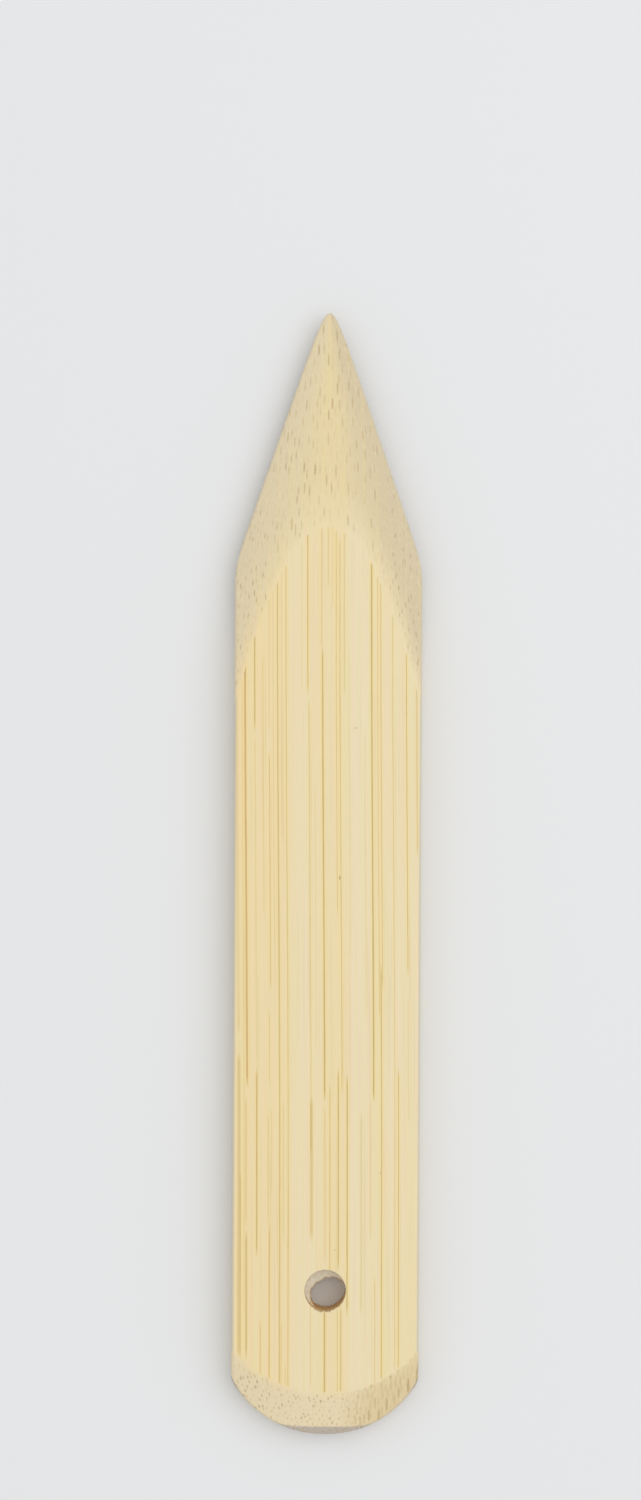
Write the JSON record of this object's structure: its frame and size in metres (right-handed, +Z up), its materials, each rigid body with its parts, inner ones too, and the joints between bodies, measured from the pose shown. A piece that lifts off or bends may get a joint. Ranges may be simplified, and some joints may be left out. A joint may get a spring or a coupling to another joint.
{
  "type": "point turner",
  "caption": "Flat bamboo point turner and seam presser: ground blunt point, parallel blade, bevelled round heel and a hang hole.",
  "frame": {"origin": "under the middle of the blade, on the surface it lies on", "axes": "+Y along the blade to the point, +X across it, +Z up through its thickness"},
  "size_m": [0.0254, 0.1524, 0.0048],
  "materials": {
    "bamboo": "sanded, no varnish, satin"
  },
  "bodies": {
    "root": {"bamboo_blade": "bamboo"}
  },
  "joints": []
}
